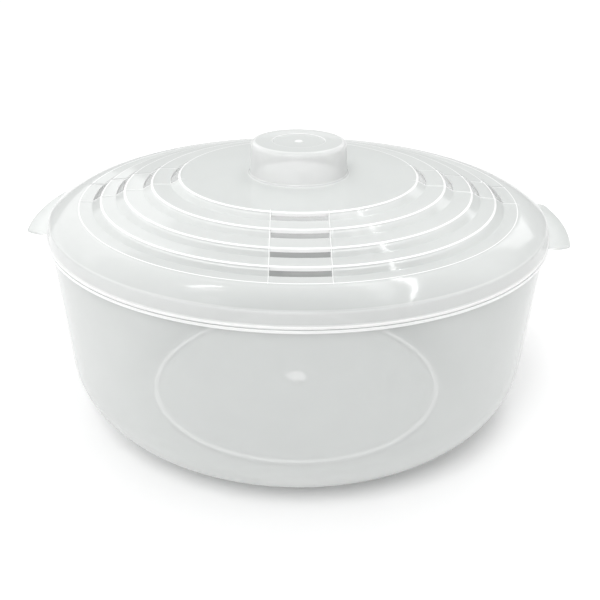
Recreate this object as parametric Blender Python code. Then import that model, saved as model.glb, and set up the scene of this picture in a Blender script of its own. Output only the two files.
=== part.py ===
"""Lidded plastic bowl: an open bowl with two tabs and a lift-off lid with a knob and louvre slots.

The frame stands at the centre of the foot ring, +Z up, with the bowl's two tabs along X.
Both pieces are thin-walled turned mouldings, so each is one closed profile swept round Z.
"""

import math

import bmesh
import bpy

# Both mouldings
WALL = 0.0016
GAP = 0.0004
SEGMENTS = 64

# Bowl
BOWL_RADIUS_AT_FLOOR = 0.1215
BOWL_DRAFT = math.radians(4.0)
BOWL_CORNER_RADIUS = 0.0374
BOWL_CORNER_STEPS = 6
FOOT_RING_RADIUS = 0.0816
FOOT_RING_WIDTH = 0.0028
FOOT_HEIGHT = 0.0014
GATE_RADIUS = 0.0060
GATE_HEIGHT = 0.0008
FLANGE_RADIUS = 0.1304
FLANGE_BOTTOM = 0.1018
FLANGE_THICKNESS = 0.0012
NECK_RADIUS = 0.1262
NECK_TOP = 0.1088

# Tabs, drawn out of the bowl's flange on both sides
TAB_REACH = 0.0100
TAB_HALF_ANGLE = math.radians(14.3)
TAB_FLANK = math.radians(4.4)
TAB_FLANK_STEPS = 5

# Lid, turned a little from the tabs because nothing keys it to the bowl
LID_TURN = math.radians(3.7)
LIP_RADIUS = 0.1300
LIP_THICKNESS = 0.0010
LIP_OVERHANG = 0.0007
LIP_BOTTOM = FLANGE_BOTTOM + FLANGE_THICKNESS + GAP
SKIRT_TOP_RADIUS = 0.1283
SKIRT_TOP = 0.1104
SHOULDER_BULGE = 0.0011
SHOULDER_STEPS = 4
STEP_EDGES = ((0.0620, 0.1280), (0.0761, 0.1252), (0.0900, 0.1219), (0.1021, 0.1185), (0.1132, 0.1159))
RISER_RUN = 0.0046
RISER_DROP = 0.0028

# Knob, moulded on the lid and open underneath
KNOB_TOP = 0.1448
KNOB_RADIUS = 0.0246
KNOB_DRAFT = 0.0009
KNOB_CORNER = 0.0022
KNOB_CORNER_STEPS = 3
KNOB_FOOT_FLARE = 0.0010
DISH_RADIUS = 0.0136
DISH_DEPTH = 0.0005

# Louvre slots: four groups, one slot through each riser
SLOT_GROUPS = 4
SLOT_LENGTH = 0.0260
SLOT_START = 0.0004
SLOT_END = 0.0044
SLOT_ARC_STEPS = 4

SHARP_ANGLE = math.radians(20.0)
QUARTER = 90.0


def clear_scene():
    for obj in list(bpy.data.objects):
        bpy.data.objects.remove(obj, do_unlink=True)


def polypropylene(name, colour, alpha):
    """Natural polypropylene: milky, glossy and partly see-through."""
    material = bpy.data.materials.new(name)
    material.use_nodes = True
    shader = material.node_tree.nodes["Principled BSDF"]
    shader.inputs["Base Color"].default_value = (*colour, 1.0)
    shader.inputs["Roughness"].default_value = 0.22
    shader.inputs["Metallic"].default_value = 0.0
    shader.inputs["Alpha"].default_value = alpha
    return material


def arc(centre, radius, start, end, steps):
    """Profile points on an arc, with its angles in degrees up from the outward direction."""
    points = []
    for step in range(steps + 1):
        angle = math.radians(start + (end - start) * step / steps)
        points.append((centre[0] + radius * math.cos(angle), centre[1] + radius * math.sin(angle)))
    return points


def turned(profile, angles, drawn_points=(), reach=None):
    """Closed mesh swept round Z from a profile of (radius, height) that ends on the axis twice.

    The profile points whose indices are in drawn_points move outwards by reach(angle).
    """
    mesh = bmesh.new()
    first_pole = mesh.verts.new((0.0, 0.0, profile[0][1]))
    last_pole = mesh.verts.new((0.0, 0.0, profile[-1][1]))
    columns = []
    for angle in angles:
        column = []
        for index, (radius, height) in enumerate(profile[1:-1], start=1):
            full = radius + reach(angle) if index in drawn_points else radius
            column.append(mesh.verts.new((full * math.cos(angle), full * math.sin(angle), height)))
        columns.append(column)
    for left, right in zip(columns, columns[1:] + columns[:1]):
        mesh.faces.new((first_pole, right[0], left[0]))
        for low in range(len(left) - 1):
            mesh.faces.new((left[low], right[low], right[low + 1], left[low + 1]))
        mesh.faces.new((left[-1], right[-1], last_pole))
    return mesh


def add_object(name, mesh, material=None):
    bmesh.ops.recalc_face_normals(mesh, faces=mesh.faces)
    data = bpy.data.meshes.new(name)
    mesh.to_mesh(data)
    mesh.free()
    data.shade_smooth()
    data.set_sharp_from_angle(angle=SHARP_ANGLE)
    if material:
        data.materials.append(material)
    obj = bpy.data.objects.new(name, data)
    bpy.context.scene.collection.objects.link(obj)
    return obj


def even_angles():
    return [math.tau * step / SEGMENTS for step in range(SEGMENTS)]


def angle_from_tab(angle):
    """Angle between a direction and the nearer tab's middle, never negative."""
    return abs((angle + math.pi / 2.0) % math.pi - math.pi / 2.0)


def tab_reach(angle):
    """How far the flange is drawn out at an angle: flat-topped, with rounded flanks."""
    t = (TAB_HALF_ANGLE + TAB_FLANK / 2.0 - angle_from_tab(angle)) / TAB_FLANK
    t = min(max(t, 0.0), 1.0)
    return TAB_REACH * t * t * (3.0 - 2.0 * t)


def tab_angles():
    """Even angles, with those near the tabs' flanks replaced by finer ones."""
    step = TAB_FLANK / TAB_FLANK_STEPS
    flank = [TAB_HALF_ANGLE - TAB_FLANK / 2.0 + step * index for index in range(TAB_FLANK_STEPS + 1)]
    angles = [
        angle for angle in even_angles()
        if not flank[0] - step < angle_from_tab(angle) < flank[-1] + step
    ]
    for middle in (0.0, math.pi):
        for side in (-1.0, 1.0):
            angles += [(middle + side * offset) % math.tau for offset in flank]
    return sorted(angles)


def wall_radius(height, inset):
    """Radius of the bowl's drafted wall, inset from its outer face."""
    return BOWL_RADIUS_AT_FLOOR + height * math.tan(BOWL_DRAFT) - inset / math.cos(BOWL_DRAFT)


def bowl_profile():
    """Outside from the axis up to the neck, then inside back down; and the flange's edge points."""
    corner_height = FOOT_HEIGHT + BOWL_CORNER_RADIUS
    corner = (wall_radius(corner_height, BOWL_CORNER_RADIUS), corner_height)
    draft = math.degrees(BOWL_DRAFT)
    foot_in = FOOT_RING_RADIUS - FOOT_RING_WIDTH / 2.0
    foot_out = FOOT_RING_RADIUS + FOOT_RING_WIDTH / 2.0
    flange_top = FLANGE_BOTTOM + FLANGE_THICKNESS
    neck_in = NECK_RADIUS - WALL
    floor = FOOT_HEIGHT + WALL
    outside = [
        (0.0, FOOT_HEIGHT),
        (foot_in - FOOT_HEIGHT / 2.0, FOOT_HEIGHT),
        (foot_in, 0.0),
        (foot_out, 0.0),
        (foot_out + FOOT_HEIGHT / 2.0, FOOT_HEIGHT),
        *arc(corner, BOWL_CORNER_RADIUS, -QUARTER, -draft, BOWL_CORNER_STEPS),
        (wall_radius(FLANGE_BOTTOM, 0.0), FLANGE_BOTTOM),
    ]
    flange_edge = [(FLANGE_RADIUS, FLANGE_BOTTOM), (FLANGE_RADIUS, flange_top)]
    neck = [
        (NECK_RADIUS, flange_top),
        (NECK_RADIUS, NECK_TOP - WALL / 4.0),
        (NECK_RADIUS - WALL / 4.0, NECK_TOP),
        (neck_in + WALL / 4.0, NECK_TOP),
        (neck_in, NECK_TOP - WALL / 4.0),
        (neck_in, flange_top),
    ]
    inside = [
        (wall_radius(FLANGE_BOTTOM, WALL), FLANGE_BOTTOM - WALL / 2.0),
        *arc(corner, BOWL_CORNER_RADIUS - WALL, -draft, -QUARTER, BOWL_CORNER_STEPS),
        (GATE_RADIUS, floor),
        (GATE_RADIUS - GATE_HEIGHT, floor + GATE_HEIGHT),
        (0.0, floor + GATE_HEIGHT),
    ]
    edge_points = (len(outside), len(outside) + 1)
    return outside + flange_edge + neck + inside, edge_points


def knob_outside():
    """Knob from the axis down to the disc, on top."""
    foot = KNOB_RADIUS + KNOB_DRAFT
    disc = STEP_EDGES[0][1]
    corner = (KNOB_RADIUS - KNOB_CORNER, KNOB_TOP - KNOB_CORNER)
    return [
        (0.0, KNOB_TOP - DISH_DEPTH),
        (DISH_RADIUS - DISH_DEPTH, KNOB_TOP - DISH_DEPTH),
        (DISH_RADIUS, KNOB_TOP),
        *arc(corner, KNOB_CORNER, QUARTER, 0.0, KNOB_CORNER_STEPS),
        (foot, disc + KNOB_FOOT_FLARE),
        (foot + KNOB_FOOT_FLARE, disc),
    ]


def knob_inside():
    """Hollow of the knob from the axis down to the disc's underside."""
    roof = KNOB_TOP - DISH_DEPTH - WALL
    return [
        (0.0, roof),
        (KNOB_RADIUS - WALL - KNOB_CORNER / 2.0, roof),
        (KNOB_RADIUS - WALL, roof - KNOB_CORNER / 2.0),
        (KNOB_RADIUS + KNOB_DRAFT - WALL, STEP_EDGES[0][1] - WALL),
    ]


def terraces(drop):
    """Step edges, riser feet and the bulged shoulder, at a drop below the top face."""
    points = []
    for radius, height in STEP_EDGES[:-1]:
        points.append((radius, height - drop))
        points.append((radius + RISER_RUN, height - RISER_DROP - drop))
    (start_radius, start_height), end_radius, end_height = STEP_EDGES[-1], SKIRT_TOP_RADIUS, SKIRT_TOP
    for step in range(SHOULDER_STEPS):
        t = step / SHOULDER_STEPS
        bulge = SHOULDER_BULGE * 4.0 * t * (1.0 - t)
        height = start_height + (end_height - start_height) * t + bulge
        points.append((start_radius + (end_radius - start_radius) * t, height - drop))
    return points


def lid_profile():
    """Underside from the knob's roof out to the lip, then the top back to the knob."""
    skirt_foot = LIP_RADIUS - LIP_OVERHANG
    lip_top = LIP_BOTTOM + LIP_THICKNESS
    under = knob_inside() + terraces(WALL)
    rim = [
        (SKIRT_TOP_RADIUS - WALL * 0.75, SKIRT_TOP - WALL),
        (skirt_foot - WALL, lip_top),
        (skirt_foot - WALL, LIP_BOTTOM),
        (LIP_RADIUS, LIP_BOTTOM),
        (LIP_RADIUS, lip_top),
        (skirt_foot, lip_top + LIP_OVERHANG / 2.0),
        (SKIRT_TOP_RADIUS, SKIRT_TOP),
    ]
    over = knob_outside() + terraces(0.0)
    return under + rim + over[::-1]


def add_slot_block(mesh, inner, outer, low, high, turn):
    """Closed block with parallel ends, whose long faces follow a riser round the axis."""
    outline = []
    for radius, direction in ((inner, 1.0), (outer, -1.0)):
        for step in range(SLOT_ARC_STEPS + 1):
            across = direction * SLOT_LENGTH * (step / SLOT_ARC_STEPS - 0.5)
            along = math.sqrt(radius * radius - across * across)
            outline.append((
                across * math.cos(turn) + along * math.sin(turn),
                across * math.sin(turn) - along * math.cos(turn),
            ))
    bottom = [mesh.verts.new((x, y, low)) for x, y in outline]
    top = [mesh.verts.new((x, y, high)) for x, y in outline]
    mesh.faces.new(bottom)
    mesh.faces.new(top[::-1])
    for index in range(len(outline)):
        before = index - 1
        mesh.faces.new((bottom[before], top[before], top[index], bottom[index]))


def build_bowl():
    profile, edge_points = bowl_profile()
    mesh = turned(profile, tab_angles(), edge_points, tab_reach)
    return add_object("bowl", mesh, polypropylene("bowl_polypropylene", (0.82, 0.84, 0.83), 0.45))


def build_lid():
    mesh = turned(lid_profile(), even_angles())
    lid = add_object("lid", mesh, polypropylene("lid_polypropylene", (0.90, 0.91, 0.91), 0.55))
    lid.rotation_euler.z = LID_TURN
    blocks = bmesh.new()
    for group in range(SLOT_GROUPS):
        for radius, height in STEP_EDGES[:-1]:
            low = height - RISER_DROP - 2.0 * WALL
            turn = math.tau * group / SLOT_GROUPS
            add_slot_block(blocks, radius + SLOT_START, radius + SLOT_END, low, height + WALL, turn)
    cutter = add_object("lid_slot_cutter", blocks)
    cutter.rotation_euler.z = LID_TURN
    cutter.hide_render = True
    cutter.display_type = "WIRE"
    cut = lid.modifiers.new("louvre_slots", "BOOLEAN")
    cut.operation = "DIFFERENCE"
    cut.solver = "EXACT"
    cut.object = cutter


def main():
    clear_scene()
    build_bowl()
    build_lid()


main()
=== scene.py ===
"""Looks of the lidded salad bowl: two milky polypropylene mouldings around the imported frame.

Lengths are in metres, in the frame's own axes: +Z up, the bowl's tabs along X.
"""

import math

import bmesh
import bpy
import numpy as np
from mathutils import Matrix, Vector


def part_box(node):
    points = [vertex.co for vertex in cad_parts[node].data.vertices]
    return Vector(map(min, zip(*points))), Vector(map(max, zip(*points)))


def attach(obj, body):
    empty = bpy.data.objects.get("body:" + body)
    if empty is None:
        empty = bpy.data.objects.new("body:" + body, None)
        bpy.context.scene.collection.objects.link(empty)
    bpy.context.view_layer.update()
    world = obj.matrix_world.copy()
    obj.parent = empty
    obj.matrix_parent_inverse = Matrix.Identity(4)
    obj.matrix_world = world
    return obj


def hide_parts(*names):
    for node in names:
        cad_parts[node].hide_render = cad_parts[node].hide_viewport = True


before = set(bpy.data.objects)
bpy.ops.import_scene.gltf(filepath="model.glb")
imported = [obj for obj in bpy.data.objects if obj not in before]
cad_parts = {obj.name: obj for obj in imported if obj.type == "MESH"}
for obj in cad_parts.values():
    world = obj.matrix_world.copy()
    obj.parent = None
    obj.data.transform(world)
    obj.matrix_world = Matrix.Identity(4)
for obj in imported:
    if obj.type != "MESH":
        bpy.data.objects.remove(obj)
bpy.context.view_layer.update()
_, bowl_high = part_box("bowl")
lid_low, lid_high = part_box("lid")

# Both mouldings
WALL = 0.0016
SHARP_ANGLE = math.radians(38.0)
TOUCH = 1e-6
SAME = 1e-9

# Rounding of a profile's corners
FILLET_STEP = math.radians(6.0)
FILLET_SHARE = 0.98
SMALLEST_REACH = 0.00002
EDGE_MARGIN = 0.0003
MARGIN_ROOM = 2.2

# Milk: 1 is the white of a thick edge (on the lid's step and slot edges partly a painted highlight), 0 the
# clear wall, and below 0 a painted shade: darker, denser plastic on the bowl's shaded inside and on the
# tabs
THIN_MILK = 0.0
KNOB_HAZE = 0.03
KNOB_SIDE_HAZE = 0.24
KNOB_GATE_MILK = 0.6
RIM_HAZE = 0.18
LIP_MILK = 0.5
# Painted light on the treads, which face up
TREAD_PAINTED_LIGHT = 0.05
SHOULDER_HAZE = 0.06
# Share of the step edges' white and painted highlight, and of the treads' painted light, kept at the sides
SIDE_WHITE_AND_HIGHLIGHT = 0.45
SLOT_END_MILK = 0.6
WITNESS_MILK = 0.8
FLANGE_MILK = 0.45
# Painted shade on the tabs
TAB_PAINTED_SHADE = 0.28
TAB_EDGE_MILK = 0.3
BOWL_HAZE = 0.09
# Painted shade on the bowl's inside: darker, denser plastic fading in downward from a height over a run,
# full on the lower wall, light on the floor inside the foot ring
WALL_PAINTED_SHADE = 1.0
FLOOR_PAINTED_SHADE = 0.15
PAINTED_SHADE_TOP = 0.066
PAINTED_SHADE_RUN = 0.036

# Bowl
BOWL_RADIUS_AT_FLOOR = 0.1215
BOWL_DRAFT = math.radians(4.0)
BOWL_CORNER_RADIUS = 0.0374
FOOT_RING_RADIUS = 0.0816
FOOT_RING_WIDTH = 0.0028
FOOT_HEIGHT = 0.0014
SINK_HEIGHT = 0.0001
GATE_RADIUS = 0.0060
GATE_HEIGHT = 0.0008
GATE_RING_RADIUS = 0.0112
GATE_RING_HEIGHT = 0.0002
GATE_RING_FILLET = 0.0004
FLANGE_RADIUS = bowl_high.y
FLANGE_BOTTOM = 0.1018
FLANGE_THICKNESS = 0.0012
NECK_RADIUS = 0.1262
NECK_TOP = bowl_high.z
NECK_FILLET = 0.0006
NECK_FOOT_FILLET = 0.0020
TAB_HALF_ANGLE = math.radians(14.3)
TAB_FLANK = math.radians(4.4)
TAB_DEPTH = 0.0013
TAB_SHORTFALL = 0.00001
TAB_REACH = bowl_high.x - FLANGE_RADIUS - TAB_SHORTFALL
COLUMN_ANGLE = math.radians(1.5)
FLANK_COLUMN_ANGLE = math.radians(0.3)

# Lid
LID_TURN = math.radians(3.7)
LIP_RADIUS = 0.1300
LIP_BOTTOM = lid_low.z
LIP_THICKNESS = 0.0010
LIP_OVERHANG = 0.0007
LIP_FILLET = 0.0004
SKIRT_TOP_RADIUS = 0.1283
SKIRT_TOP = 0.1104
SHOULDER_BULGE = 0.0011
SHOULDER_STEPS = 14
STEP_EDGES = ((0.0620, 0.1280), (0.0761, 0.1252), (0.0900, 0.1219), (0.1021, 0.1185), (0.1132, 0.1159))
RISER_RUN = 0.0046
RISER_DROP = 0.0028
EDGE_FILLET = 0.0017
RISER_FOOT_FILLET = 0.0012

# Knob
KNOB_TOP = lid_high.z
KNOB_RADIUS = 0.0246
KNOB_DRAFT = 0.0009
KNOB_CORNER = 0.0022
KNOB_FOOT_FLARE = 0.0010
DISH_RADIUS = 0.0136
DISH_DEPTH = 0.0005
KNOB_GATE_RADIUS = 0.0021
KNOB_GATE_HEIGHT = 0.0003

# Louvre slots
SLOT_GROUPS = 4
SLOT_LENGTH = 0.0260
SLOT_START = 0.0004
SLOT_END = 0.0044
SLOT_COLUMNS = 12
SLOT_STRIP = 0.0007
WITNESS_WIDTH = 0.0004
WITNESS_HEIGHT = 0.00012
PARALLEL_FROM = 0.0500
FREE_COLUMNS = 50
ROW_MARGIN = 0.0004
ROW_GAP = 0.00006
TERRACE_MARGIN = 0.0010
DISC_ROW_STEP = 0.0040
DISC_ROW_START = 0.0040

# Plastic
CLOUD_SCALE = 14.0
GRAIN_SCALE = 220.0
# White of thick plastic, also the colour of the painted highlights and light on the lid's step and slot
# edges
EDGE_WHITE_AND_HIGHLIGHT = (0.95, 0.95, 0.95)
# Grey that the painted shade darkens the colour towards
PAINTED_SHADE_GREY = (0.32, 0.34, 0.33)
BOWL_BODY = (0.73, 0.75, 0.74)
BOWL_DENSITY = 0.36
BOWL_EDGE_DENSITY = 2.2
LID_BODY = (0.68, 0.70, 0.69)
LID_DENSITY = 0.38
LID_EDGE_DENSITY = 1.2
# Extra opacity where shade is painted
PAINTED_SHADE_DENSITY = 0.55
# Painted shade at grazing angles, darkening the colour toward the silhouettes
GRAZING_PAINTED_SHADE = 0.6
TINT_GAIN = 2.5
LEAST_SLANT = 0.12

# Studio (headings are an azimuth and an elevation in degrees)
PANEL_DISTANCE = 1.4
FLOOR_HALF_SIZE = 6.0

# ---------------------------------------------------------------- profiles


def fillet_reaches(corners):
    """How far each corner's arc runs along its edges, scaled down where two arcs would meet."""
    points = [Vector(corner[:2]) for corner in corners]
    lengths = [(after - before).length for before, after in zip(points, points[1:])]
    wanted = [0.0] * len(points)
    for index in range(1, len(points) - 1):
        turn = (points[index] - points[index - 1]).angle(points[index + 1] - points[index])
        wanted[index] = corners[index][2] * math.tan(turn / 2.0)
    reaches = list(wanted)
    for index in range(1, len(points) - 1):
        for side in (-1, 1):
            room = FILLET_SHARE * lengths[min(index, index + side)]
            both = wanted[index] + wanted[index + side]
            if both > room:
                reaches[index] = min(reaches[index], wanted[index] * room / both)
    return reaches


def rounded(corners):
    """Profile points (radius, height, milk) from corners (radius, height, fillet, milk).

    Each corner becomes an arc of its fillet radius. Milk is how white the plastic is there: the white of
    thick plastic, on the lid's step edges partly a painted highlight;
    it fades to THIN_MILK within EDGE_MARGIN of the arc's ends, unless the next corner is as milky.
    """
    points = []
    for index, (reach, (radius, height, _, milk_and_painted_light)) in enumerate(zip(fillet_reaches(corners), corners)):
        if reach < SMALLEST_REACH:
            points.append((radius, height, milk_and_painted_light))
            continue
        corner = Vector((radius, height))
        before = Vector(corners[index - 1][:2]) - corner
        after = Vector(corners[index + 1][:2]) - corner
        towards, onwards = before.normalized(), after.normalized()
        turn = math.pi - before.angle(after)
        arc_radius = reach / math.tan(turn / 2.0)
        centre = corner + (towards + onwards).normalized() * (arc_radius / math.cos(turn / 2.0))
        first = corner + towards * reach - centre
        sweep = first.angle_signed(corner + onwards * reach - centre)
        if milk_and_painted_light and before.length > MARGIN_ROOM * (reach + EDGE_MARGIN):
            clear = corner + towards * (reach + EDGE_MARGIN)
            points.append((clear.x, clear.y, milk_and_painted_light if corners[index - 1][3] == milk_and_painted_light else THIN_MILK))
        steps = max(2, math.ceil(turn / FILLET_STEP))
        for step in range(steps + 1):
            spoke = first.copy()
            spoke.rotate(Matrix.Rotation(-sweep * step / steps, 2))
            points.append((centre.x + spoke.x, centre.y + spoke.y, milk_and_painted_light))
        if milk_and_painted_light and after.length > MARGIN_ROOM * (reach + EDGE_MARGIN):
            clear = corner + onwards * (reach + EDGE_MARGIN)
            points.append((clear.x, clear.y, milk_and_painted_light if corners[index + 1][3] == milk_and_painted_light else THIN_MILK))
    return points


def hazed(points, haze):
    """The same profile points, none less milky than the haze."""
    return [(radius, height, max(milk_and_painted_light, haze)) for radius, height, milk_and_painted_light in points]


def with_painted_shade(points):
    """The same points of the bowl's inside, with painted shade (values below 0) where the plastic is not
    white: fading in downward from a height on the wall, full on the lower wall and corner, and light inside
    the foot ring.
    """
    result = []
    for radius, height, milk_and_painted_light in points:
        share = min(max((PAINTED_SHADE_TOP - height) / PAINTED_SHADE_RUN, 0.0), 1.0)
        painted_darkening = WALL_PAINTED_SHADE if radius > FOOT_RING_RADIUS + FOOT_RING_WIDTH else FLOOR_PAINTED_SHADE
        result.append((radius, height, milk_and_painted_light if milk_and_painted_light > 0.0 else -painted_darkening * share))
    return result


def wall_radius(height, inset):
    """Radius of the bowl's drafted wall, inset from its outer face."""
    return BOWL_RADIUS_AT_FLOOR + height * math.tan(BOWL_DRAFT) - inset / math.cos(BOWL_DRAFT)


def bowl_profile():
    """Outside from the axis up to the neck, then inside back down to the axis."""
    foot_in = FOOT_RING_RADIUS - FOOT_RING_WIDTH / 2.0
    foot_out = FOOT_RING_RADIUS + FOOT_RING_WIDTH / 2.0
    flange_top = FLANGE_BOTTOM + FLANGE_THICKNESS
    neck_in = NECK_RADIUS - WALL
    floor = FOOT_HEIGHT + WALL
    wall_foot = wall_radius(FOOT_HEIGHT, 0.0)
    wall_foot_in = wall_radius(floor, WALL)
    outside = rounded([
        (0.0, FOOT_HEIGHT, 0.0, 1.0),
        (GATE_RADIUS - GATE_HEIGHT, FOOT_HEIGHT, 0.0, 1.0),
        (GATE_RADIUS, FOOT_HEIGHT, 0.0, 0.0),
        (foot_in - FOOT_HEIGHT / 2.0, FOOT_HEIGHT, 0.0006, 0.6),
        (foot_in, 0.0, 0.0005, 1.0),
        (foot_out, 0.0, 0.0005, 1.0),
        (foot_out + FOOT_HEIGHT / 2.0, FOOT_HEIGHT, 0.0006, 0.6),
        (wall_foot, FOOT_HEIGHT, BOWL_CORNER_RADIUS, 0.0),
        (wall_radius(FLANGE_BOTTOM, 0.0), FLANGE_BOTTOM, 0.0008, 0.3),
        (FLANGE_RADIUS, FLANGE_BOTTOM, 0.0005, FLANGE_MILK),
        (FLANGE_RADIUS, flange_top, 0.0005, FLANGE_MILK),
        (NECK_RADIUS, flange_top, NECK_FILLET, 0.2),
        (NECK_RADIUS, NECK_TOP, NECK_FILLET, 0.5),
        (neck_in, NECK_TOP, NECK_FILLET, 0.5),
        (neck_in, (NECK_TOP + flange_top) / 2.0, 0.0, 0.0),
    ])
    inside = rounded([
        outside[-1] + (0.0,),
        (neck_in, flange_top, NECK_FOOT_FILLET, 0.2),
        (wall_radius(FLANGE_BOTTOM, WALL), FLANGE_BOTTOM - WALL / 2.0, NECK_FOOT_FILLET, 0.2),
        (wall_radius(PAINTED_SHADE_TOP, WALL), PAINTED_SHADE_TOP, 0.0, 0.0),
        (wall_foot_in, floor, BOWL_CORNER_RADIUS - WALL, 0.0),
        (foot_out, floor, 0.0, 0.0),
        (foot_out - FOOT_RING_WIDTH * 0.1, floor + SINK_HEIGHT, 0.0, 1.0),
        (foot_in + FOOT_RING_WIDTH * 0.1, floor + SINK_HEIGHT, 0.0, 1.0),
        (foot_in, floor, 0.0, 0.0),
        (GATE_RING_RADIUS, floor, GATE_RING_FILLET, 0.3),
        (GATE_RING_RADIUS - GATE_RING_HEIGHT, floor + GATE_RING_HEIGHT, GATE_RING_FILLET, 0.3),
        (GATE_RADIUS, floor + GATE_RING_HEIGHT, GATE_RING_FILLET, 0.6),
        (GATE_RADIUS - GATE_HEIGHT, floor + GATE_HEIGHT, 0.0008, 1.0),
        (0.0, floor + GATE_HEIGHT, 0.0, 1.0),
    ])
    return hazed(outside, BOWL_HAZE) + with_painted_shade(inside[1:])


def knob_outside():
    """Knob from the axis down to the disc, on top."""
    foot = KNOB_RADIUS + KNOB_DRAFT
    disc = STEP_EDGES[0][1]
    dish = KNOB_TOP - DISH_DEPTH
    return [
        (0.0, dish + KNOB_GATE_HEIGHT, 0.0, KNOB_GATE_MILK),
        (KNOB_GATE_RADIUS - KNOB_GATE_HEIGHT, dish + KNOB_GATE_HEIGHT, 0.0003, KNOB_GATE_MILK),
        (KNOB_GATE_RADIUS, dish, 0.0003, 0.2),
        (DISH_RADIUS - DISH_DEPTH, dish, 0.0005, 0.0),
        (DISH_RADIUS, KNOB_TOP, 0.0004, 0.35),
        (KNOB_RADIUS, KNOB_TOP, KNOB_CORNER, KNOB_SIDE_HAZE),
        (foot, disc + KNOB_FOOT_FLARE, 0.0007, KNOB_SIDE_HAZE),
        (foot + KNOB_FOOT_FLARE, disc, 0.0006, 0.15),
        (foot + KNOB_FOOT_FLARE + EDGE_MARGIN, disc, 0.0, 0.0),
    ]


def knob_inside():
    """Hollow of the knob from the axis down to the disc's underside."""
    roof = KNOB_TOP - DISH_DEPTH - WALL
    return [
        (0.0, roof, 0.0, 0.0),
        (KNOB_RADIUS - WALL, roof, KNOB_CORNER, KNOB_SIDE_HAZE),
        (KNOB_RADIUS + KNOB_DRAFT - WALL, STEP_EDGES[0][1] - WALL, 0.0008, KNOB_SIDE_HAZE),
    ]


def terrace_corners(drop):
    """Step edges, riser feet and the bulged shoulder, at a drop below the top face."""
    corners = []
    for radius, height in STEP_EDGES[:-1]:
        # The step edges are white: thick plastic, and a painted highlight along each edge
        corners.append((radius, height - drop, EDGE_FILLET, 1.0))
        corners.append((radius + RISER_RUN, height - RISER_DROP - drop, RISER_FOOT_FILLET, 0.0))
    (start_radius, start_height), end_radius, end_height = STEP_EDGES[-1], SKIRT_TOP_RADIUS, SKIRT_TOP
    # The last step edge is white in the same way
    corners.append((start_radius, start_height - drop, EDGE_FILLET, 1.0))
    for step in range(1, SHOULDER_STEPS):
        t = step / SHOULDER_STEPS
        bulge = SHOULDER_BULGE * 4.0 * t * (1.0 - t)
        height = start_height + (end_height - start_height) * t + bulge
        corners.append((start_radius + (end_radius - start_radius) * t, height - drop, 0.0, SHOULDER_HAZE))
    return corners


def rim_corners():
    """Skirt and lip, from the shoulder's underside round to the shoulder's top."""
    skirt_foot = LIP_RADIUS - LIP_OVERHANG
    lip_top = LIP_BOTTOM + LIP_THICKNESS
    return [
        (SKIRT_TOP_RADIUS - WALL * 0.75, SKIRT_TOP - WALL, 0.0008, 0.0),
        (skirt_foot - WALL, LIP_BOTTOM, 0.0003, 0.5),
        (LIP_RADIUS, LIP_BOTTOM, LIP_FILLET, LIP_MILK),
        (LIP_RADIUS, lip_top, LIP_FILLET, LIP_MILK),
        (skirt_foot, lip_top + LIP_OVERHANG / 2.0, 0.0005, 0.3),
        (SKIRT_TOP_RADIUS, SKIRT_TOP, 0.0016, 0.0),
    ]


# ---------------------------------------------------------------- meshes


def finish_mesh(name, vertices, faces, milk_and_painted_light):
    """Object from a grid, with the milk attribute, outward faces and sharp cut edges."""
    mesh = bpy.data.meshes.new(name)
    mesh.from_pydata([tuple(v) for v in vertices], [], faces)
    attribute = mesh.attributes.new("milk_and_painted_light", "FLOAT", "POINT")
    attribute.data.foreach_set("value", np.asarray(milk_and_painted_light, np.float32))
    work = bmesh.new()
    work.from_mesh(mesh)
    bmesh.ops.recalc_face_normals(work, faces=work.faces)
    work.to_mesh(mesh)
    work.free()
    mesh.shade_smooth()
    mesh.set_sharp_from_angle(angle=SHARP_ANGLE)
    obj = bpy.data.objects.new(name, mesh)
    bpy.context.scene.collection.objects.link(obj)
    return obj


def angle_from_tab(angle):
    """Angle between a direction and the nearer tab's middle, never negative."""
    return abs((angle + math.pi / 2.0) % math.pi - math.pi / 2.0)


def tab_reach(angle):
    """How far the flange is drawn out at an angle: flat-topped, with rounded flanks."""
    t = (TAB_HALF_ANGLE + TAB_FLANK / 2.0 - angle_from_tab(angle)) / TAB_FLANK
    t = min(max(t, 0.0), 1.0)
    return TAB_REACH * t * t * (3.0 - 2.0 * t)


def bowl_angles():
    """Columns round the bowl, closer together on the tabs' flanks."""
    angles = []
    angle = 0.0
    while angle < math.tau - FLANK_COLUMN_ANGLE / 2.0:
        angles.append(angle)
        near = abs(angle_from_tab(angle) - TAB_HALF_ANGLE) < TAB_FLANK * 0.75
        angle += FLANK_COLUMN_ANGLE if near else COLUMN_ANGLE
    return angles


def bowl_milk_and_painted_shade(white, angle, radius, on_edge):
    """Milk at a point of the bowl: the painted shade of the inside is deepest at the far wall (+Y), half at
    the sides and none at the near wall (-Y), and the tabs get an even painted shade, or an even white where
    the plastic is white.
    """
    if white < 0.0 and radius > FOOT_RING_RADIUS + FOOT_RING_WIDTH:
        # Painted shade placed on the far wall (+Y): full there, half at the sides, none at the near wall
        # (-Y)
        white *= 0.5 + 0.5 * math.sin(angle)
    # The tabs' edge points move toward an even painted shade, by how far the tab reaches out there
    if on_edge:
        share = tab_reach(angle) / TAB_REACH
        white += share * ((TAB_EDGE_MILK if white > 0.5 else -TAB_PAINTED_SHADE) - white)
    return white


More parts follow.
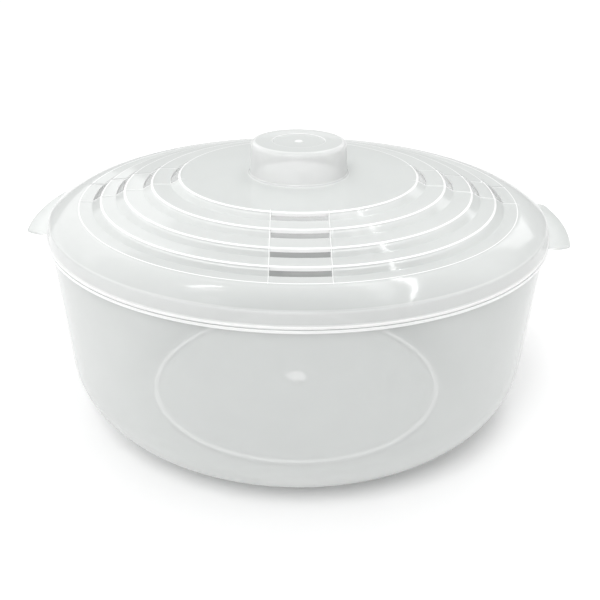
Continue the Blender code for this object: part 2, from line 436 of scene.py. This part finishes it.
def build_bowl():
    """Bowl turned from its profile, with the flange drawn out into the two tabs."""
    profile = bowl_profile()
    angles = bowl_angles()
    rows, columns = len(profile) - 2, len(angles)
    flange_middle = FLANGE_BOTTOM + FLANGE_THICKNESS / 2.0
    vertices, milk_and_painted_light = [], []
    for angle in angles:
        reach = tab_reach(angle)
        for radius, height, white in profile[1:-1]:
            on_edge = abs(height - flange_middle) <= FLANGE_THICKNESS and radius > FLANGE_RADIUS - TAB_DEPTH
            full = radius + reach if on_edge else radius
            vertices.append((full * math.cos(angle), full * math.sin(angle), height))
            milk_and_painted_light.append(bowl_milk_and_painted_shade(white, angle, radius, on_edge))
    faces = []
    for column in range(columns):
        here, there = column * rows, (column + 1) % columns * rows
        for row in range(rows - 1):
            faces.append((here + row, there + row, there + row + 1, here + row + 1))
    for pole, row in ((profile[0], 0), (profile[-1], rows - 1)):
        vertices.append((0.0, 0.0, pole[1]))
        milk_and_painted_light.append(pole[2])
        for column in range(columns):
            faces.append((len(vertices) - 1, column * rows + row, (column + 1) % columns * rows + row))
    return finish_mesh("bowl_moulding", vertices, faces, milk_and_painted_light)


def lid_columns():
    """Columns round the lid: (group, offset across the slots or None, share of the gap between groups)."""
    half = SLOT_LENGTH / 2.0
    across = [half * (2.0 * step / SLOT_COLUMNS - 1.0) for step in range(SLOT_COLUMNS + 1)]
    witness = [half + WITNESS_WIDTH * step / 2.0 for step in range(1, 4)]
    across = [-offset for offset in reversed(witness)] + across + witness
    columns = []
    for group in range(SLOT_GROUPS):
        columns += [(group, offset, 0.0) for offset in across]
        columns += [(group, None, step / FREE_COLUMNS) for step in range(1, FREE_COLUMNS)]
    return columns


def column_angle(column, radius):
    """Direction of a lid column at a radius: parallel lines along the slots, spread out between."""
    group, offset, share = column
    quarter = math.tau / SLOT_GROUPS
    middle = LID_TURN - math.pi / 2.0 + group * quarter
    held = max(radius, PARALLEL_FROM)
    if offset is not None:
        return middle + math.asin(offset / held)
    side = math.asin((SLOT_LENGTH / 2.0 + WITNESS_WIDTH * 1.5) / held)
    return middle + side + share * (quarter - 2.0 * side)


def on_tread(radius):
    """Is the radius on a tread, past a riser's foot and before the next step's edge?"""
    spans = zip(STEP_EDGES, STEP_EDGES[1:])
    return any(inner + RISER_RUN <= radius <= outer for (inner, _), (outer, _) in spans)


def terrace_rows():
    """Rows that the top and the underside share, disc to last step: (radius, top, under, milk)."""
    disc_start = (KNOB_RADIUS + KNOB_DRAFT + KNOB_FOOT_FLARE + DISC_ROW_START, STEP_EDGES[0][1], 0.0, 0.0)
    top = rounded([disc_start] + terrace_corners(0.0))
    under = rounded([(disc_start[0], disc_start[1] - WALL, 0.0, 0.0)] + terrace_corners(WALL))
    slot_cuts = [radius + cut for radius, _ in STEP_EDGES[:-1] for cut in (SLOT_START, SLOT_END)]
    margins = [cut + ROW_MARGIN for cut in slot_cuts]
    disc_rows = list(np.arange(disc_start[0], STEP_EDGES[0][0] - DISC_ROW_STEP / 2.0, DISC_ROW_STEP))
    radii = []
    for radius in sorted([p[0] for p in top + under] + slot_cuts + margins + disc_rows):
        if radii and radius - radii[-1] < ROW_GAP:
            if any(abs(radius - cut) < SAME for cut in slot_cuts):
                radii[-1] = radius
            continue
        radii.append(radius)
    tops = np.interp(radii, [p[0] for p in top], [p[1] for p in top])
    unders = np.interp(radii, [p[0] for p in under], [p[1] for p in under])
    whites = np.interp(radii, [p[0] for p in top], [p[2] for p in top])
    # Treads a little whiter: painted light on the faces that look up
    tread_painted_light = [TREAD_PAINTED_LIGHT * on_tread(radius) for radius in radii]
    return list(zip(radii, tops.tolist(), unders.tolist(), np.maximum(whites, tread_painted_light).tolist()))


def lid_milk_and_painted_light(white, angle, radius, on_terrace, in_slots):
    """Milk at a point of the lid: the steps' white, partly a painted highlight, and the treads' painted
    light are strongest front and back and weaker at the sides; the slots' ends are whiter still, fully
    white at the upper cut face and the strip above it, partly as painted light.
    """
    if on_terrace:
        # Stronger front and back (+-Y), weaker at the sides
        white *= SIDE_WHITE_AND_HIGHLIGHT + (1.0 - SIDE_WHITE_AND_HIGHLIGHT) * math.sin(angle) ** 2
    if in_slots:
        past_edges = [radius - edge for edge, _ in STEP_EDGES[:-1]]
        # The slots' upper cut faces and the strip inside the step edge above them are fully white: thick
        # cut plastic, and painted light on faces that lie in shade
        if any(-SLOT_STRIP <= past <= SLOT_START + TOUCH for past in past_edges):
            white = 1.0
        if any(abs(past - SLOT_END) < TOUCH for past in past_edges):
            white = max(white, SLOT_END_MILK)
    return white


def lid_profile(shared):
    """Knob's hollow, underside, rim, top and knob in one line, and where its underside and top rows are."""
    first_radius = shared[0][0]
    inside = hazed(rounded(knob_inside() + [(first_radius, shared[0][2], 0.0, 0.0)])[:-1], KNOB_HAZE)
    outside = hazed(rounded(knob_outside() + [(first_radius, shared[0][1], 0.0, 0.0)])[:-1], KNOB_HAZE)
    last = shared[-1]
    rim = rounded([(last[0], last[2], 0.0, 0.0)] + rim_corners() + [(last[0], last[1], 0.0, 0.0)])[1:-1]
    rim = hazed(rim, RIM_HAZE)
    profile = inside + [(r, u, w) for r, _, u, w in shared] + rim
    profile += [(r, t, w) for r, t, _, w in reversed(shared)] + outside[::-1]
    under_start = len(inside)
    top_end = under_start + 2 * len(shared) + len(rim) - 1
    return profile, under_start, top_end


def lid_points(profile, columns, top_start):
    """Points and milk of every column, with the witness lines raised on the top's terrace."""
    half = SLOT_LENGTH / 2.0
    first_step, last_step = STEP_EDGES[0][0] - TERRACE_MARGIN, STEP_EDGES[-1][0] + TERRACE_MARGIN
    witness_middle = half + WITNESS_WIDTH
    vertices, milk_and_painted_light = [], []
    for column in columns:
        offset = column[1]
        on_witness = offset is not None and abs(abs(offset) - witness_middle) < TOUCH
        in_slots = offset is not None and abs(offset) <= half + TOUCH
        for index, (radius, height, white) in enumerate(profile[1:-1], start=1):
            angle = column_angle(column, radius)
            on_terrace = first_step < radius < last_step
            white = lid_milk_and_painted_light(white, angle, radius, on_terrace, in_slots)
            if on_witness and on_terrace and index > top_start:
                height += WITNESS_HEIGHT
                white = max(white, WITNESS_MILK)
            vertices.append((radius * math.cos(angle), radius * math.sin(angle), height))
            milk_and_painted_light.append(white)
    return vertices, milk_and_painted_light


def open_rows(shared):
    """Shared rows where the slots are open."""
    rows = set()
    for radius, _ in STEP_EDGES[:-1]:
        for index, row in enumerate(shared[:-1]):
            if radius + SLOT_START - TOUCH <= row[0] < radius + SLOT_END - TOUCH:
                rows.add(index)
    return rows


def build_lid():
    """Lid turned from its profile, with the louvre slots left open."""
    shared = terrace_rows()
    profile, under_start, top_end = lid_profile(shared)
    columns = lid_columns()
    rows, count = len(profile) - 2, len(columns)
    half = SLOT_LENGTH / 2.0
    vertices, milk_and_painted_light = lid_points(profile, columns, under_start + len(shared))
    slot_rows = open_rows(shared)

    def vertex(column, index):
        return column % count * rows + index - 1

    def under(column, row):
        return vertex(column, under_start + row)

    def top(column, row):
        return vertex(column, top_end - row)

    under_cells = {under_start + row for row in slot_rows}
    top_cells = {top_end - row - 1 for row in slot_rows}
    open_columns = {
        index for index, (_, offset, _) in enumerate(columns)
        if offset is not None and -half - TOUCH <= offset < half - TOUCH
    }
    faces = []
    for column in range(count):
        for index in range(1, rows):
            if column in open_columns and (index in under_cells or index in top_cells):
                continue
            faces.append((
                vertex(column, index),
                vertex(column + 1, index),
                vertex(column + 1, index + 1),
                vertex(column, index + 1),
            ))
    for column in sorted(open_columns):
        for row in sorted(slot_rows):
            if row - 1 not in slot_rows:
                faces.append((
                    top(column, row), top(column + 1, row), under(column + 1, row), under(column, row),
                ))
            if row + 1 not in slot_rows:
                after = row + 1
                faces.append((
                    under(column, after),
                    under(column + 1, after),
                    top(column + 1, after),
                    top(column, after),
                ))
            if column - 1 not in open_columns:
                faces.append((
                    top(column, row), under(column, row), under(column, row + 1), top(column, row + 1),
                ))
            if column + 1 not in open_columns:
                side = column + 1
                faces.append((top(side, row), top(side, row + 1), under(side, row + 1), under(side, row)))
    for pole, index in ((profile[0], 1), (profile[-1], rows)):
        vertices.append((0.0, 0.0, pole[1]))
        milk_and_painted_light.append(pole[2])
        for column in range(count):
            faces.append((len(vertices) - 1, vertex(column, index), vertex(column + 1, index)))
    return finish_mesh("lid_moulding", vertices, faces, milk_and_painted_light)


# ---------------------------------------------------------------- material


def milky_plastic(name, body, density, edge_density):
    """Natural polypropylene: a clouded skin whose opacity grows with the length of the way through it;
    whitened where the attribute is above 0 (thick plastic, partly painted highlight and light), darkened
    with painted shade where it is below 0 and at grazing angles.
    """
    material = bpy.data.materials.new(name)
    material.use_nodes = True
    nodes, links = material.node_tree.nodes, material.node_tree.links
    shader = nodes["Principled BSDF"]
    shader.inputs["Metallic"].default_value = 0.0
    shader.inputs["IOR"].default_value = 1.49
    shader.inputs["Specular IOR Level"].default_value = 0.5

    def maths(operation, first, second=None, third=None, clamp=False):
        node = nodes.new("ShaderNodeMath")
        node.operation = operation
        node.use_clamp = clamp
        for socket, value in zip(node.inputs, (first, second, third)):
            if isinstance(value, float):
                socket.default_value = value
            elif value is not None:
                links.new(value, socket)
        return node.outputs["Value"]

    place = nodes.new("ShaderNodeTexCoord")
    cloud = nodes.new("ShaderNodeTexNoise")
    cloud.inputs["Scale"].default_value = CLOUD_SCALE
    cloud.inputs["Detail"].default_value = 3.0
    links.new(place.outputs["Object"], cloud.inputs["Vector"])

    edge = nodes.new("ShaderNodeAttribute")
    edge.attribute_name = "milk_and_painted_light"

    # Whitened where the attribute is above 0: thick plastic, and the painted highlights and light on the
    # lid's steps and slots
    tint = nodes.new("ShaderNodeMix")
    tint.data_type = "RGBA"
    tint.inputs["A"].default_value = (*body, 1.0)
    tint.inputs["B"].default_value = (*EDGE_WHITE_AND_HIGHLIGHT, 1.0)
    links.new(maths("MULTIPLY", edge.outputs["Fac"], TINT_GAIN, clamp=True), tint.inputs["Factor"])
    # Colour darkened toward the grey of the painted shade, by how far the attribute is below 0
    painted_darkening = nodes.new("ShaderNodeMix")
    painted_darkening.data_type = "RGBA"
    painted_darkening.inputs["B"].default_value = (*PAINTED_SHADE_GREY, 1.0)
    painted_shade_share = maths("MULTIPLY", edge.outputs["Fac"], -1.0, clamp=True)
    facing = nodes.new("ShaderNodeLayerWeight")
    facing.inputs["Blend"].default_value = 0.5
    # Painted shade that deepens as the skin turns edge-on, added to the shade below
    grazing = maths("POWER", facing.outputs["Facing"], 4.0)
    links.new(maths("MULTIPLY_ADD", grazing, GRAZING_PAINTED_SHADE, painted_shade_share, clamp=True), painted_darkening.inputs["Factor"])
    links.new(tint.outputs["Result"], painted_darkening.inputs["A"])
    links.new(painted_darkening.outputs["Result"], shader.inputs["Base Color"])

    slant = maths("MAXIMUM", maths("SUBTRACT", 1.0, facing.outputs["Facing"]), LEAST_SLANT)
    clouded = maths("MULTIPLY_ADD", cloud.outputs["Fac"], density * 0.3, density * 0.85)
    white = maths("MAXIMUM", edge.outputs["Fac"], 0.0)
    thick = maths("MULTIPLY", white, white)
    # Painted shade also thickens the skin, so less shows through
    depth = maths("MULTIPLY_ADD", thick, edge_density, maths("MULTIPLY_ADD", painted_shade_share, PAINTED_SHADE_DENSITY, clouded))
    clear = maths("POWER", math.e, maths("MULTIPLY", maths("DIVIDE", depth, slant), -1.0))
    links.new(maths("SUBTRACT", 1.0, clear, clamp=True), shader.inputs["Alpha"])

    grain = nodes.new("ShaderNodeTexNoise")
    grain.inputs["Scale"].default_value = GRAIN_SCALE
    grain.inputs["Detail"].default_value = 2.0
    links.new(place.outputs["Object"], grain.inputs["Vector"])
    gloss = nodes.new("ShaderNodeMapRange")
    gloss.inputs["To Min"].default_value = 0.05
    gloss.inputs["To Max"].default_value = 0.11
    links.new(grain.outputs["Fac"], gloss.inputs["Value"])
    links.new(gloss.outputs["Result"], shader.inputs["Roughness"])
    bump = nodes.new("ShaderNodeBump")
    bump.inputs["Strength"].default_value = 0.01
    bump.inputs["Distance"].default_value = 0.0003
    links.new(grain.outputs["Fac"], bump.inputs["Height"])
    links.new(bump.outputs["Normal"], shader.inputs["Normal"])
    return material


# ---------------------------------------------------------------- studio


def floor_material():
    """Plain pale matt floor."""
    material = bpy.data.materials.new("studio_floor")
    material.use_nodes = True
    shader = material.node_tree.nodes["Principled BSDF"]
    shader.inputs["Base Color"].default_value = (0.84, 0.84, 0.84, 1.0)
    shader.inputs["Roughness"].default_value = 0.8
    shader.inputs["Specular IOR Level"].default_value = 0.0
    return material


def add_floor():
    """Floor at height zero, under the whole studio."""
    mesh = bpy.data.meshes.new("studio_floor")
    signs = ((-1.0, -1.0), (1.0, -1.0), (1.0, 1.0), (-1.0, 1.0))
    corners = [(x * FLOOR_HALF_SIZE, y * FLOOR_HALF_SIZE, 0.0) for x, y in signs]
    mesh.from_pydata(corners, [], [(0, 1, 2, 3)])
    mesh.materials.append(floor_material())
    floor = bpy.data.objects.new("studio_floor", mesh)
    bpy.context.scene.collection.objects.link(floor)


def heading(azimuth, elevation):
    """Direction from an azimuth and an elevation in degrees."""
    azimuth, elevation = math.radians(azimuth), math.radians(elevation)
    return Vector((
        math.cos(elevation) * math.cos(azimuth),
        math.cos(elevation) * math.sin(azimuth),
        math.sin(elevation),
    ))


def add_rectangle(name, away, turn, size, radiance):
    """Rectangular lamp, PANEL_DISTANCE from the lid's rim and facing it, turned by a matrix."""
    light = bpy.data.lights.new(name, "AREA")
    light.shape = "RECTANGLE"
    light.size, light.size_y = size
    light.energy = radiance * math.pi * size[0] * size[1]
    obj = bpy.data.objects.new(name, light)
    place = Vector((0.0, 0.0, LIP_BOTTOM)) + away * PANEL_DISTANCE
    obj.matrix_world = Matrix.Translation(place) @ turn.to_4x4()
    bpy.context.scene.collection.objects.link(obj)


def add_strip(name, first, last, width, radiance):
    """Long lamp that runs from one heading to another."""
    first, last = heading(*first), heading(*last)
    away, along = (first + last).normalized(), (last - first).normalized()
    length = 2.0 * PANEL_DISTANCE * math.tan(first.angle(last) / 2.0)
    turn = Matrix((along, away.cross(along), away)).transposed()
    add_rectangle(name, away, turn, (length, width), radiance)


def add_panel(name, azimuth, elevation, size, radiance):
    """Soft upright panel at a heading."""
    away = heading(azimuth, elevation)
    add_rectangle(name, away, away.to_track_quat("Z", "Y").to_matrix(), size, radiance)


def add_sun(name, direction, angle, strength):
    """Distant lamp of an angular size, shining from a direction."""
    light = bpy.data.lights.new(name, "SUN")
    light.angle = angle
    light.energy = strength
    obj = bpy.data.objects.new(name, light)
    obj.rotation_euler = Vector(direction).to_track_quat("Z", "Y").to_euler()
    bpy.context.scene.collection.objects.link(obj)


def add_world():
    """Even white light from all round."""
    world = bpy.data.worlds.new("studio")
    world.use_nodes = True
    back = world.node_tree.nodes["Background"]
    back.inputs["Color"].default_value = (1.0, 1.0, 1.0, 1.0)
    back.inputs["Strength"].default_value = 0.52
    bpy.context.scene.world = world


def add_camera():
    """Camera in front of the bowl, a little to the right and above it."""
    distance, height, aim = 0.4177, 0.2571, 0.0531
    azimuth = math.radians(-87.0)
    roll = 0.010
    data = bpy.data.cameras.new("camera")
    data.sensor_width = 36.0
    data.lens = 49.5
    data.shift_x = 0.0047
    data.shift_y = 0.0006
    camera = bpy.data.objects.new("camera", data)
    place = Vector((distance * math.cos(azimuth), distance * math.sin(azimuth), height))
    facing = (Vector((0.0, 0.0, aim)) - place).to_track_quat("-Z", "Y")
    turned = facing.to_matrix().to_4x4() @ Matrix.Rotation(roll, 4, "Z")
    camera.matrix_world = Matrix.Translation(place) @ turned
    bpy.context.scene.collection.objects.link(camera)
    bpy.context.scene.camera = camera


bowl = build_bowl()
bowl.data.materials.append(milky_plastic("bowl_polypropylene", BOWL_BODY, BOWL_DENSITY, BOWL_EDGE_DENSITY))
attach(bowl, "bowl")
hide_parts("bowl")

lid = build_lid()
lid.data.materials.append(milky_plastic("lid_polypropylene", LID_BODY, LID_DENSITY, LID_EDGE_DENSITY))
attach(lid, "lid")
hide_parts("lid")

add_floor()
add_world()
add_sun("key", (-0.18, -0.75, 1.0), math.radians(35.0), 1.75)
add_sun("overhead", (-0.05, -0.10, 1.0), math.radians(120.0), 0.95)
add_strip("back_right_lamp", (79.0, 38.0), (16.0, 63.0), 0.026, 20.0)
add_strip("back_right_window", (84.0, 41.0), (24.0, 69.0), 0.10, 2.2)
add_strip("back_left_lamp", (114.0, 56.0), (137.0, 60.0), 0.045, 16.0)
add_panel("right_softbox", 59.0, 24.0, (0.36, 0.26), 1.5)
add_panel("left_softbox", 128.0, 24.0, (0.90, 0.60), 0.9)
add_camera()
bpy.context.scene.view_settings.view_transform = "Standard"
